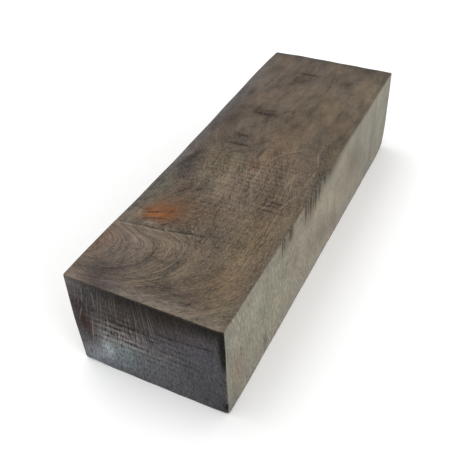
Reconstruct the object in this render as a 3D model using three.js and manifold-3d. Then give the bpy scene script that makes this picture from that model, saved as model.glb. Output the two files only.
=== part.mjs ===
// A stabilized beech handle blank: one sawn block of resin-filled wood, ready to be cut into a
// knife or tool handle. It lies on its widest face with its length, and so its grain, along Y.
// Millimetres, +Z up. The origin is the middle of the footprint, on the surface that it lies on.
import * as THREE from "three";
import { mergeVertices } from "three/addons/utils/BufferGeometryUtils.js";
import Module from "manifold-3d";

// Driving dimensions: the size the blank is sawn to
const LENGTH = 120;
const WIDTH = 40;
const THICKNESS = 28.5;

// How far each hand-fed saw cut is out of square, in degrees. turn swings the cut round the
// vertical (round Y for the top), and lean tips it off plumb (along Y for the top).
const CUTS = {
  left: { turn: -0.05, lean: -0.28 },
  right: { turn: -0.03, lean: -0.13 },
  near: { turn: -0.02, lean: 0.04 },
  far: { turn: 0.01, lean: 0.1 },
  top: { turn: 0.56, lean: 0.39 },
};

// The blade wandered along the left side: it stands out at both ends and is hollow between them,
// with the deepest place nearer to the near end
const WANDER_DEPTH = 0.38;
const WANDER_SKEW = 0.76;

// Edges are only eased, by a radius that varies a little along them in gentle waves. EASED_WAVES
// holds radians per millimetre.
const EASED_RADIUS = 0.3;
const EASED_CHANGE = 0.1;
const EASED_WAVES = { x: 0.7, y: 0.31, z: 0.45 };

// A few corners have been knocked round. at gives the side (left -1, right 1), the end (near -1,
// far 1) and the level (bottom 0, top 1), and the reach is how far the rounding fades out.
const CORNER_REACH = 5.5;
const KNOCKED_CORNERS = [
  { at: [-1, -1, 1], radius: 0.9 },
  { at: [-1, 1, 1], radius: 1.1 },
  { at: [1, 1, 0], radius: 2.4 },
  { at: [1, -1, 0], radius: 0.8 },
  { at: [-1, -1, 0], radius: 0.8 },
];

// Spacing of the surface's grid: fine rows over each eased edge, then even ones
const EDGE_ROWS = [0, 0.1, 0.3, 0.9, 2.2, 4.5];
const EVEN_SPACING = 7.5;

// A fine drying check runs in from the left edge beside the knot. It is a chain of short
// straight splits that run into each other: x and y of its points, the widest gap and depth of
// its first split, and how much longer a split is than the stretch that it covers.
const CHECK_POINTS = [
  [-20.4, -39.4],
  [-15.2, -38.3],
  [-9.6, -37.8],
  [-4.6, -37.4],
];
const CHECK_GAP = 0.34;
const CHECK_DEPTH = 0.9;
const SPLIT_OVERLAP = 1.25;

// Where the saw tore the grain out of the upper right edge: y of the split, how far it
// runs down the right side, and how wide it is.
const TEARS = [
  { y: -29.8, drop: 5.6, gap: 0.42 },
  { y: -28.9, drop: 3.4, gap: 0.5 },
  { y: -25.4, drop: 4.2, gap: 0.7 },
  { y: -24.1, drop: 5.0, gap: 0.5 },
  { y: -15.3, drop: 5.4, gap: 0.8 },
  { y: -13.6, drop: 4.4, gap: 0.6 },
  { y: -11.9, drop: 6.2, gap: 0.7 },
  { y: -10.2, drop: 5.2, gap: 0.6 },
  { y: -8.4, drop: 6.6, gap: 0.8 },
  { y: -6.7, drop: 5.8, gap: 0.6 },
  { y: -5.6, drop: 6.4, gap: 0.5 },
  { y: -2.2, drop: 3.0, gap: 0.7 },
  { y: 1.6, drop: 2.4, gap: 0.8 },
];
const TEAR_DEPTH = 0.55;

// Short splits across the grain on the top: x where each starts and ends, and y of its middle.
// They slant by CROSS_SLANT from start to end.
const CROSS_SPLITS = [
  { from: -11.2, to: -2.6, y: 3.8 },
  { from: -10.4, to: -5.0, y: 8.6 },
  { from: -11.0, to: -2.6, y: 21.2 },
  { from: -8.0, to: -1.6, y: 48.2 },
];
const CROSS_GAP = 0.26;
const CROSS_DEPTH = 0.4;
const CROSS_SLANT = 0.4;

// Vertices nearer to each other than this are one vertex
const MERGE_DISTANCE = 1e-4;

const WOOD_COLOUR = 0x6a5f53;
const WOOD_ROUGHNESS = 0.62;

const wasm = await Module();
wasm.setup();

/** Slope of an angle in degrees. */
function slope(degrees) {
  return Math.tan(THREE.MathUtils.degToRad(degrees));
}

/** A closed three.js geometry as a manifold-3d solid. */
function solidFrom(geometry) {
  const bare = geometry.clone();
  bare.deleteAttribute("normal");
  bare.deleteAttribute("uv");
  const merged = mergeVertices(bare, MERGE_DISTANCE);
  return new wasm.Manifold(
    new wasm.Mesh({
      numProp: 3,
      vertProperties: merged.getAttribute("position").array,
      triVerts: new Uint32Array(merged.index.array),
    }),
  );
}

/** A manifold-3d solid as a three.js geometry. */
function geometryFrom(solid) {
  const mesh = solid.getMesh();
  const geometry = new THREE.BufferGeometry();
  geometry.setAttribute("position", new THREE.BufferAttribute(mesh.vertProperties, 3));
  geometry.setIndex(new THREE.BufferAttribute(mesh.triVerts, 1));
  geometry.computeVertexNormals();
  return geometry;
}

/** Places of the grid's rows along a side of this size, from -size / 2 to size / 2. */
function rowsAlong(size) {
  const edge = EDGE_ROWS.map((inset) => inset - size / 2);
  const start = edge.at(-1);
  const evenCount = Math.round((-2 * start) / EVEN_SPACING);
  const even = Array.from({ length: evenCount - 1 }, (_, i) => start * (1 - (2 * (i + 1)) / evenCount));
  return [...edge, ...even, ...edge.map((place) => -place).reverse()];
}

/** A box whose surface grid has its rows at the places that rowsAlong gives. */
function griddedBox() {
  const sizes = [WIDTH, LENGTH, THICKNESS];
  const rows = sizes.map(rowsAlong);
  const counts = rows.map((places) => places.length - 1);
  const box = new THREE.BoxGeometry(...sizes, ...counts);
  const position = box.getAttribute("position");
  for (let i = 0; i < position.count; i++) {
    for (let axis = 0; axis < 3; axis++) {
      const share = position.getComponent(i, axis) / sizes[axis] + 0.5;
      position.setComponent(i, axis, rows[axis][Math.round(share * counts[axis])]);
    }
  }
  return box;
}

/** Radius to which the edges near this point of the block are rounded. */
function edgeRadius(point) {
  const wave = Math.sin(point.y * EASED_WAVES.y + point.x * EASED_WAVES.x);
  let radius = EASED_RADIUS + EASED_CHANGE * wave * Math.cos(point.z * EASED_WAVES.z);
  for (const corner of KNOCKED_CORNERS) {
    const [side, end, level] = corner.at;
    const place = new THREE.Vector3(
      (side * WIDTH) / 2,
      (end * LENGTH) / 2,
      (level - 0.5) * THICKNESS,
    );
    const nearness = Math.exp(-((point.distanceTo(place) / CORNER_REACH) ** 2));
    radius += (corner.radius - EASED_RADIUS) * nearness;
  }
  return radius;
}

/** Pulls a point of the sharp box's surface onto its rounded edges. */
function roundEdges(point) {
  const radius = edgeRadius(point);
  const inner = new THREE.Vector3(WIDTH, LENGTH, THICKNESS).multiplyScalar(0.5).subScalar(radius);
  const core = point.clone().clamp(inner.clone().negate(), inner);
  const outward = point.clone().sub(core);
  return core.addScaledVector(outward.normalize(), radius);
}

/** How far the left side stands out at this y, where the blade wandered. */
function wander(y) {
  const along = THREE.MathUtils.clamp(y / LENGTH + 0.5, 0, 1);
  return WANDER_DEPTH * Math.cos(2 * Math.PI * along ** WANDER_SKEW);
}

/** Moves a point of the square block to where the out-of-square cuts put it. */
function sawOutOfSquare(point) {
  const { x, y, z } = point;
  const left = -WIDTH / 2 + slope(CUTS.left.turn) * y + slope(CUTS.left.lean) * z - wander(y);
  const right = WIDTH / 2 - slope(CUTS.right.turn) * y - slope(CUTS.right.lean) * z;
  const near = -LENGTH / 2 + slope(CUTS.near.turn) * x + slope(CUTS.near.lean) * z;
  const far = LENGTH / 2 - slope(CUTS.far.turn) * x - slope(CUTS.far.lean) * z;
  const top = THICKNESS / 2 - slope(CUTS.top.turn) * x - slope(CUTS.top.lean) * y;
  return new THREE.Vector3(
    THREE.MathUtils.mapLinear(x, -WIDTH / 2, WIDTH / 2, left, right),
    THREE.MathUtils.mapLinear(y, -LENGTH / 2, LENGTH / 2, near, far),
    THREE.MathUtils.mapLinear(z, -THICKNESS / 2, THICKNESS / 2, 0, top + THICKNESS / 2),
  );
}

/** The sawn block with its eased edges, before any splits. */
function sawnBlock() {
  const block = griddedBox();
  const position = block.getAttribute("position");
  for (let i = 0; i < position.count; i++) {
    const point = new THREE.Vector3().fromBufferAttribute(position, i);
    const shaped = sawOutOfSquare(roundEdges(point));
    position.setXYZ(i, shaped.x, shaped.y, shaped.z);
  }
  return solidFrom(block);
}

/** Height of the top face above the footprint at this x and y. */
function topHeight(x, y) {
  return THICKNESS - slope(CUTS.top.turn) * x - slope(CUTS.top.lean) * y;
}

/** A sliver that is widest in its middle and comes to a point at its ends and its bottom. */
function sliver(length, gap, depth) {
  return new THREE.OctahedronGeometry(1).scale(length / 2, gap / 2, depth);
}

/** A split in the top face from one point to another. */
function topSplit([x0, y0], [x1, y1], gap, depth) {
  const split = sliver(Math.hypot(x1 - x0, y1 - y0) * SPLIT_OVERLAP, gap, depth);
  split.rotateZ(Math.atan2(y1 - y0, x1 - x0));
  const [x, y] = [(x0 + x1) / 2, (y0 + y1) / 2];
  return split.translate(x, y, topHeight(x, y));
}

/** The drying check beside the knot, one sliver for each of its stretches. */
function checkSlivers() {
  const stretches = CHECK_POINTS.slice(1);
  return stretches.map((end, i) => {
    const shallower = 1 - i / (stretches.length + 1);
    return topSplit(CHECK_POINTS[i], end, CHECK_GAP * shallower, CHECK_DEPTH * shallower);
  });
}

/** The torn grain on the upper right edge. */
function tearSlivers() {
  return TEARS.map(({ y, drop, gap }) => {
    const torn = sliver(2 * drop, gap, TEAR_DEPTH).rotateY(Math.PI / 2);
    const edge = WIDTH / 2 - slope(CUTS.right.turn) * y - slope(CUTS.right.lean) * (THICKNESS / 2);
    return torn.translate(edge, y, topHeight(edge, y));
  });
}

/** The short splits across the grain. */
function crossSlivers() {
  return CROSS_SPLITS.map(({ from, to, y }) => {
    const start = [from, y - CROSS_SLANT / 2];
    const end = [to, y + CROSS_SLANT / 2];
    return topSplit(start, end, CROSS_GAP, CROSS_DEPTH);
  });
}

/** The finished blank, with the middle of its footprint at the origin. */
function blank() {
  let solid = sawnBlock();
  for (const cut of [...checkSlivers(), ...tearSlivers(), ...crossSlivers()]) {
    solid = solid.subtract(solidFrom(cut));
  }
  const geometry = geometryFrom(solid);
  geometry.computeBoundingBox();
  const middle = geometry.boundingBox.getCenter(new THREE.Vector3());
  geometry.translate(-middle.x, -middle.y, -geometry.boundingBox.min.z);
  const wood = new THREE.MeshStandardMaterial({ color: WOOD_COLOUR, roughness: WOOD_ROUGHNESS, metalness: 0 });
  const mesh = new THREE.Mesh(geometry, wood);
  mesh.name = "beech_blank";
  return mesh;
}

const group = new THREE.Group();
group.add(blank());

export default group;
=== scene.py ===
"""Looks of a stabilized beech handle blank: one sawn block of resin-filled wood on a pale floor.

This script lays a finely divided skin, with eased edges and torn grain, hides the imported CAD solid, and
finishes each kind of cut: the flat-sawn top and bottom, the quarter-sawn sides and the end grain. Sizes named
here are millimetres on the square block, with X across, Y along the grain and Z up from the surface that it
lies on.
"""

import logging
import math
from dataclasses import dataclass
from enum import Enum
from typing import Any, Callable, Iterable, Optional, Union

import bmesh
import bpy
import numpy as np
from mathutils import Matrix, Vector


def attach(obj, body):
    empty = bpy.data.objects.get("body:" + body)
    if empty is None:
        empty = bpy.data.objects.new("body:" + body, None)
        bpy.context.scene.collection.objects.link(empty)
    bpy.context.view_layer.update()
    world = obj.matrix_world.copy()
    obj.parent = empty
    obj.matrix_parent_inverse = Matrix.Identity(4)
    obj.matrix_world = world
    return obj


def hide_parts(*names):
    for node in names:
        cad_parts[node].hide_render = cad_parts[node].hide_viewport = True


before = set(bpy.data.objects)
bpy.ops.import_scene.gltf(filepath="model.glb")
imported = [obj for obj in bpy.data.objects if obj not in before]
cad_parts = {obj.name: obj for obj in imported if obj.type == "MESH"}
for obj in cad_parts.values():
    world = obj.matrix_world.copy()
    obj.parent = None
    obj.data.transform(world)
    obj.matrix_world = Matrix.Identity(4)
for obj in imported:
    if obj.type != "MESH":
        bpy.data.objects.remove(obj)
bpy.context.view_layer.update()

CAD_NODE = "beech_blank"
MM = 0.001
LOG = logging.getLogger("beech_blank")

Point = tuple[float, float, float]
Colour = tuple[float, float, float, float]
Socket = bpy.types.NodeSocket
Value = Union[float, tuple, Socket]


class Side(Enum):
    """A face of the block: the axis that it faces along, and which way."""

    TOP = (2, 1)
    BOTTOM = (2, -1)
    RIGHT = (0, 1)
    LEFT = (0, -1)
    FAR = (1, 1)
    NEAR = (1, -1)

    @property
    def axis(self) -> int:
        """Index of the axis that this face looks along."""
        return self.value[0]

    @property
    def sign(self) -> int:
        """1 where the face looks towards the axis's high end, else -1."""
        return self.value[1]

    @property
    def across(self) -> tuple[int, int]:
        """Indices of the two axes that lie in the face, the longer one first."""
        return {2: (1, 0), 0: (1, 2), 1: (0, 2)}[self.axis]

    @property
    def index(self) -> int:
        """Place of this face in the order above."""
        return list(Side).index(self)

    @property
    def cut(self) -> "Cut":
        """The kind of cut that made this face."""
        return {2: Cut.FLAT, 0: Cut.QUARTER, 1: Cut.END}[self.axis]


class Cut(Enum):
    """How a face was sawn out of the log. The value is its material's place on the mesh."""

    FLAT = 0
    QUARTER = 1
    END = 2


# Y at which the fine texture starts and stops fading, and what is left of it
FADING = {Side.TOP: (-14.0, 26.0, 0.30), Side.RIGHT: (-30.0, 24.0, 0.42)}
# How strong the fine texture is on the faces where it doesn't fade
EVEN = {Side.NEAR: 1.0, Side.FAR: 0.8, Side.LEFT: 0.8, Side.BOTTOM: 0.8}


def ease(low: float, high: float, value: np.ndarray) -> np.ndarray:
    """Smooth step from 0 at low to 1 at high. Low may lie above high."""
    share = np.clip((value - low) / (high - low), 0.0, 1.0)
    return share * share * (3.0 - 2.0 * share)


def linear(red: int, green: int, blue: int) -> Colour:
    """Turns a colour as seen on a screen, 0 to 255, into Blender's linear numbers.

    Args:
        red: Red as seen.
        green: Green as seen.
        blue: Blue as seen.

    Returns:
        Linear red, green, blue and an alpha of 1.
    """
    shares = [value / 255.0 for value in (red, green, blue)]
    bent = [s / 12.92 if s <= 0.04045 else ((s + 0.055) / 1.055) ** 2.4 for s in shares]
    return (bent[0], bent[1], bent[2], 1.0)


def seen_from(
    place: np.ndarray, side: Side, middle: tuple[float, float], angle: float
) -> tuple[np.ndarray, np.ndarray]:
    """Distances of places from the middle of a mark, along the mark and beside it.

    Args:
        place: Places on the square block, one row each.
        side: Face that the mark lies on.
        middle: The mark's middle in the face's two directions.
        angle: The mark's direction in the face, in radians.

    Returns:
        The distances along it and beside it.
    """
    first, second = side.across
    along = place[:, first] - middle[0]
    beside = place[:, second] - middle[1]
    cos, sin = math.cos(angle), math.sin(angle)
    return along * cos + beside * sin, beside * cos - along * sin


def added(name: str, data: Any) -> bpy.types.Object:
    """Makes an object of a mesh, a light or a camera and puts it in the scene.

    Args:
        name: The object's name.
        data: What it shows.

    Returns:
        The object.
    """
    made = bpy.data.objects.new(name, data)
    bpy.context.scene.collection.objects.link(made)
    return made


def mesh_of(bm: bmesh.types.BMesh, name: str) -> bpy.types.Mesh:
    """Turns a BMesh into a mesh and frees it.

    Args:
        bm: The BMesh.
        name: The mesh's name.

    Returns:
        The mesh.
    """
    mesh = bpy.data.meshes.new(name)
    bm.to_mesh(mesh)
    bm.free()
    return mesh


@dataclass(frozen=True)
class Wash:
    """A soft oval that fades out: a resin stain, a painted reflection, or the patch where an effect shows.

    Attributes:
        side: Face that it lies on.
        at: Its middle in the face's two directions, the longer one first.
        reach: How far it spreads in those directions.
        tint: What it multiplies red, green and blue by in its middle. A patch has one strength.
        turn: How far the oval is turned in the face, in degrees.
    """

    side: Side
    at: tuple[float, float]
    reach: tuple[float, float]
    tint: tuple[float, ...]
    turn: float = 0.0

    @classmethod
    def stains(cls, side: Side, *rows: tuple[float, ...]) -> list["Wash"]:
        """Makes stains and painted reflections of rows: middle, reach, tint in percent and, where they are
        turned, the turn.
        """
        tints = [tuple(part / 100 for part in row[4:7]) for row in rows]
        return [cls(side, row[:2], row[2:4], tint, *row[7:]) for row, tint in zip(rows, tints)]

    @classmethod
    def patches(cls, side: Side, *rows: tuple[float, ...]) -> list["Wash"]:
        """Makes patches of rows: middle, reach, strength and, where they are turned, the turn."""
        return [cls(side, row[:2], row[2:4], row[4:5], *row[5:]) for row in rows]

    def strength(self, place: np.ndarray) -> np.ndarray:
        """How strong the wash is at places of its face, from 0 to 1."""
        along, beside = seen_from(place, self.side, self.at, math.radians(self.turn))
        return np.exp(-((along / self.reach[0]) ** 2 + (beside / self.reach[1]) ** 2))


@dataclass(frozen=True)
class Stroke:
    """A thin mark with pointed ends: a split, a torn fibre or a pale line.

    Attributes:
        side: Face that it lies on.
        start: Where it starts, in the face's two directions, the longer one first.
        end: Where it ends.
        width: Its widest place.
        strength: How strongly it shows, from 0 to 1.
        depth: How deep it is cut into the block.
    """

    side: Side
    start: tuple[float, float]
    end: tuple[float, float]
    width: float
    strength: float
    depth: float = 0.0

    @classmethod
    def on(cls, side: Side, *rows: tuple[float, ...]) -> list["Stroke"]:
        """Makes strokes of rows: start, end, width, strength and, where they are cut in, depth."""
        return [cls(side, row[:2], row[2:4], *row[4:]) for row in rows]

    @property
    def half(self) -> float:
        """Half of the stroke's length."""
        return math.dist(self.start, self.end) / 2

    @property
    def angle(self) -> float:
        """Direction of the stroke in the face, in radians from the face's first direction."""
        return math.atan2(self.end[1] - self.start[1], self.end[0] - self.start[0])

    @property
    def at(self) -> tuple[float, float]:
        """Middle of the stroke in the face's two directions."""
        return ((self.start[0] + self.end[0]) / 2, (self.start[1] + self.end[1]) / 2)

    def middle(self, size: Point) -> Point:
        """Middle of the stroke on the square block.

        Args:
            size: Width, length and thickness of the block.

        Returns:
            A point on the stroke's face.
        """
        point = [0.0, 0.0, size[2] / 2]
        point[self.side.axis] += self.side.sign * size[self.side.axis] / 2
        for axis, value in zip(self.side.across, self.at):
            point[axis] = value
        return (point[0], point[1], point[2])

    def cover(self, place: np.ndarray) -> np.ndarray:
        """How much of the stroke covers places of its face, from 0 to 1."""
        along, beside = seen_from(place, self.side, self.at, self.angle)
        return np.clip(1.0 - (along / self.half) ** 2, 0.0, 1.0) * np.exp(-((beside / (self.width / 2)) ** 2))


@dataclass
class Blank:
    """The block itself: its size, the cuts that made it and the skin that shows.

    Attributes:
        length: Length that it is sawn to.
        width: Width that it is sawn to.
        thickness: Thickness that it is sawn to.
        cuts: How far each cut is out of square, as turn and lean in degrees.
        wander_depth: How far the blade wandered on the left side.
        wander_skew: How much nearer to the near end the hollow of that cut lies.
        eased_radius: Radius of the eased edges.
        eased_change: How much that radius varies.
        corner_reach: How far the rounding of a knocked corner spreads.
        knocked: Corners that are knocked rounder, as sides of X and Y and a level, with the radius.
        mark_reach: How far under a face the marks on it still move the skin.
        spacing: Distance between the skin's grid lines, halfway along a face.
        gathering: How much closer the grid lines lie at the edges, from 0 to 1.
        skin_share: Size of the skin as a share of the solid's, so that it stays inside.
    """

    length: float = 120.0
    width: float = 40.0
    thickness: float = 28.5
    cuts: tuple[tuple[Side, float, float], ...] = (
        (Side.LEFT, -0.05, -0.28),
        (Side.RIGHT, -0.03, -0.13),
        (Side.NEAR, -0.02, 0.04),
        (Side.FAR, 0.01, 0.1),
        (Side.TOP, 0.56, 0.39),
    )
    wander_depth: float = 0.38
    wander_skew: float = 0.76
    eased_radius: float = 0.3
    eased_change: float = 0.1
    corner_reach: float = 5.5
    knocked: tuple[tuple[Point, float], ...] = (
        ((-1, -1, 1), 0.9),
        ((-1, 1, 1), 1.1),
        ((1, 1, 0), 2.4),
        ((1, -1, 0), 0.8),
        ((-1, -1, 0), 0.8),
    )
    mark_reach: float = 0.9
    spacing: float = 0.5
    gathering: float = 0.72
    skin_share: float = 0.9999

    @property
    def size(self) -> Point:
        """Width, length and thickness of the square block."""
        return (self.width, self.length, self.thickness)

    def tilt(self, side: Side, turned: np.ndarray, leaned: np.ndarray) -> np.ndarray:
        """How far a cut has moved, by its turn along one direction and its lean along another."""
        turn, lean = next((turn, lean) for cut, turn, lean in self.cuts if cut is side)
        return math.tan(math.radians(turn)) * turned + math.tan(math.radians(lean)) * leaned

    def face_grid(self, bm: bmesh.types.BMesh, side: Side) -> None:
        """Adds the grid of one face of a unit cube, with more rows on the longer sides.

        Args:
            bm: Mesh that the grid goes into.
            side: Face to make.
        """
        first, second = side.across
        counts = [2 * round(self.size[axis] / self.spacing / 2) for axis in (first, second)]
        columns = Matrix.Identity(4)
        for column, axis in enumerate((first, second, side.axis)):
            for row in range(3):
                columns[row][column] = 1.0 if row == axis else 0.0
        columns[side.axis][3] = 0.5 * side.sign
        made = bmesh.ops.create_grid(bm, x_segments=counts[0], y_segments=counts[1], size=0.5, matrix=columns)
        sides = bm.faces.layers.int["side"]
        for face in {face for vert in made["verts"] for face in vert.link_faces}:
            face[sides] = side.index
            face.material_index = side.cut.value
            face.smooth = True

    def unit_block(self) -> bpy.types.Mesh:
        """A closed unit cube of six grids, each face marked with its side."""
        bm = bmesh.new()
        bm.faces.layers.int.new("side")
        for side in Side:
            self.face_grid(bm, side)
        bmesh.ops.remove_doubles(bm, verts=bm.verts, dist=1e-5)
        bmesh.ops.recalc_face_normals(bm, faces=bm.faces)
        return mesh_of(bm, "blank_skin")

    def square(self, unit: np.ndarray) -> np.ndarray:
        """Places of the unit cube's points on the square block, gathered towards its edges."""
        eased = np.sin(np.pi * unit) / 2
        return ((1 - self.gathering) * unit + self.gathering * eased) * np.array(self.size)

    def edge_radius(self, place: np.ndarray) -> np.ndarray:
        """Radius to which the edges near each place are rounded.

        Args:
            place: Places about the block's middle.

        Returns:
            One radius for each place.
        """
        wave = np.sin(place[:, 1] * 0.31 + place[:, 0] * 0.7) * np.cos(place[:, 2] * 0.45)
        radius = self.eased_radius + self.eased_change * wave
        for (side, end, level), knocked in self.knocked:
            corner = np.array([side / 2, end / 2, level - 0.5]) * np.array(self.size)
            distance = np.linalg.norm(place - corner, axis=1)
            radius += (knocked - self.eased_radius) * np.exp(-((distance / self.corner_reach) ** 2))
        return radius

    def rounded(self, place: np.ndarray) -> np.ndarray:
        """Pulls places of the sharp block onto its rounded edges.

        Args:
            place: Places about the block's middle.

        Returns:
            The moved places.
        """
        radius = self.edge_radius(place)[:, None]
        inner = np.array(self.size) / 2 - radius
        core = np.clip(place, -inner, inner)
        outward = place - core
        distance = np.maximum(np.linalg.norm(outward, axis=1, keepdims=True), 1e-9)
        return core + outward / distance * radius

    def carved(self, place: np.ndarray, marks: list[Stroke]) -> np.ndarray:
        """Sinks the marks that have a depth into the faces that they lie on.

        Args:
            place: Places about the block's middle.
            marks: Strokes, whose places have the height measured from the underside.

        Returns:
            The moved places.
        """
        standing = place + np.array([0.0, 0.0, self.thickness / 2])
        moved = place.copy()
        for mark in (mark for mark in marks if mark.depth > 0):
            axis, sign = mark.side.axis, mark.side.sign
            near_face = np.abs(place[:, axis] - sign * self.size[axis] / 2) < self.mark_reach
            moved[:, axis] -= sign * mark.depth * mark.cover(standing) * near_face
        return moved

    def out_of_square(self, place: np.ndarray) -> np.ndarray:
        """Moves places of the square block to where the saw put them.

        Args:
            place: Places about the block's middle.

        Returns:
            Places with the block's underside at height 0.
        """
        x, y, z = place.T
        half_width, half_length = self.width / 2, self.length / 2
        along = np.clip(y / self.length + 0.5, 0.0, 1.0)
        wander = self.wander_depth * np.cos(2 * np.pi * along**self.wander_skew)
        left = -half_width + self.tilt(Side.LEFT, y, z) - wander
        right = half_width - self.tilt(Side.RIGHT, y, z)
        near = -half_length + self.tilt(Side.NEAR, x, z)
        far = half_length - self.tilt(Side.FAR, x, z)
        top = self.thickness - self.tilt(Side.TOP, x, y)
        low = np.stack([left, near, 0.0 * top], axis=1)
        high = np.stack([right, far, top], axis=1)
        return low + (high - low) * (place / np.array(self.size) + 0.5)

    def build(self, marks: list[Stroke]) -> tuple[bpy.types.Object, np.ndarray, np.ndarray]:
        """Makes the block's skin, with its footprint centred on the origin.

        Args:
            marks: Strokes, of which those with a depth are carved in.

        Returns:
            The object, the place on the square block of each face corner, and its face's side.
        """
        mesh = self.unit_block()
        unit = np.empty(len(mesh.vertices) * 3)
        mesh.vertices.foreach_get("co", unit)
        square = self.square(unit.reshape(-1, 3))
        shaped = self.out_of_square(self.carved(self.rounded(square), marks))
        low, high = shaped.min(axis=0), shaped.max(axis=0)
        shaped -= np.array([(low[0] + high[0]) / 2, (low[1] + high[1]) / 2, low[2]])
        shaped *= self.skin_share
        mesh.vertices.foreach_set("co", (shaped * MM).ravel())
        mesh.update()
        blank = added("beech_blank_skin", mesh)
        corner = np.empty(len(mesh.loops), dtype=np.int64)
        mesh.loops.foreach_get("vertex_index", corner)
        side = np.empty(len(mesh.polygons), dtype=np.int32)
        mesh.attributes["side"].data.foreach_get("value", side)
        standing = square + np.array([0.0, 0.0, self.thickness / 2])
        return blank, standing[corner], np.repeat(side, 4)


@dataclass
class GrainFlow:
    """How the grain runs through the block, and round the knot in its top.

    Attributes:
        bow_centre: X of the middle of the bows that the rings make on the top.
        bow_start: Y at which the outermost bow starts to bend round towards the near end.
        bow_outermost: Distance of that bow from the middle.
        bow_drift: How much nearer to the near end a bow bends for each millimetre further in.
        bow_squeeze: How much the bows are squeezed along the grain.
        fold: Middle of the line where the bows turn back beside the knot, as Y and X.
        fold_slope: How much Y of that line rises for each millimetre of X.
        fold_height: How far the rings are pushed aside there.
        fold_reach: How far the push spreads, towards the near end and the far end.
        slant: How far the rings shift towards the left side from the knot to the far half.
        fold_edge: X at which the push starts, and at which it is full.
        drift_span: Y at which the rings start to stray, and from which they stray fully.
        slant_span: Y at which they start to shift, and from which they have shifted fully.
        pith: X and Z of the heart of the tree, above the block.
        under_shift: How far the underside's rings lie from the top's mirrored ones.
        streak_lean: How far streaks on the top lean for each millimetre of X.
    """

    bow_centre: float = -21.0
    bow_start: float = -41.4
    bow_outermost: float = 34.4
    bow_drift: float = 0.265
    bow_squeeze: float = 1.62
    fold: tuple[float, float] = (-37.8, -10.0)
    fold_slope: float = 0.14
    fold_height: float = 9.5
    fold_reach: tuple[float, float] = (4.0, 9.5)
    fold_edge: tuple[float, float] = (4.0, -12.0)
    drift_span: tuple[float, float] = (-34.0, -8.0)
    slant: float = 5.0
    slant_span: tuple[float, float] = (-34.0, 26.0)
    pith: tuple[float, float] = (-3.0, 76.0)
    under_shift: float = 4.0
    streak_lean: float = 0.45

    def flat(self, x: np.ndarray, y: np.ndarray) -> np.ndarray:
        """Ring that shows at places of a flat-sawn face, in millimetres of growth.

        Args:
            x: Places across the face.
            y: Places along the face.

        Returns:
            One number for each place.
        """
        bow = np.abs(x - self.bow_centre)
        for _ in range(5):
            start = self.bow_start - self.bow_drift * (self.bow_outermost - bow)
            before = np.maximum(start - y, 0.0) * self.bow_squeeze
            bow = np.hypot(x - self.bow_centre, before)
        drift = np.sin(y / 21.0 + 0.6) + 0.7 * np.sin(y / 8.5 + x / 13.0)
        line = self.fold[0] + self.fold_slope * (x - self.fold[1])
        reach = np.where(y < line, self.fold_reach[0], self.fold_reach[1])
        push = self.fold_height * np.exp(-(((y - line) / reach) ** 2)) * ease(*self.fold_edge, x)
        return bow + push + drift * ease(*self.drift_span, y) + self.slant * ease(*self.slant_span, y)

    def coordinates(self, place: np.ndarray, side: Side) -> tuple[np.ndarray, np.ndarray]:
        """Grain coordinates and rings at places of one face.

        Args:
            place: Places on the square block, one row each.
            side: Face that they lie on.

        Returns:
            Rows of distance along a streak, across it and into the wood, and the ring numbers.
        """
        x, y, z = place.T
        if side.cut is Cut.FLAT:
            ring = self.flat(x if side is Side.TOP else self.under_shift - x, y)
            return np.stack([y + self.streak_lean * x, ring, z], axis=1), ring
        if side.cut is Cut.QUARTER:
            ring = z + 0.05 * y + 0.8 * np.sin(y / 23.0)
            return np.stack([z, y + 0.04 * z, x], axis=1), ring
        ring = np.hypot(x - self.pith[0], z - self.pith[1])
        fan = np.arctan2(x - self.pith[0], self.pith[1] - z) * self.pith[1]
        return np.stack([ring, fan, y], axis=1), ring


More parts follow.
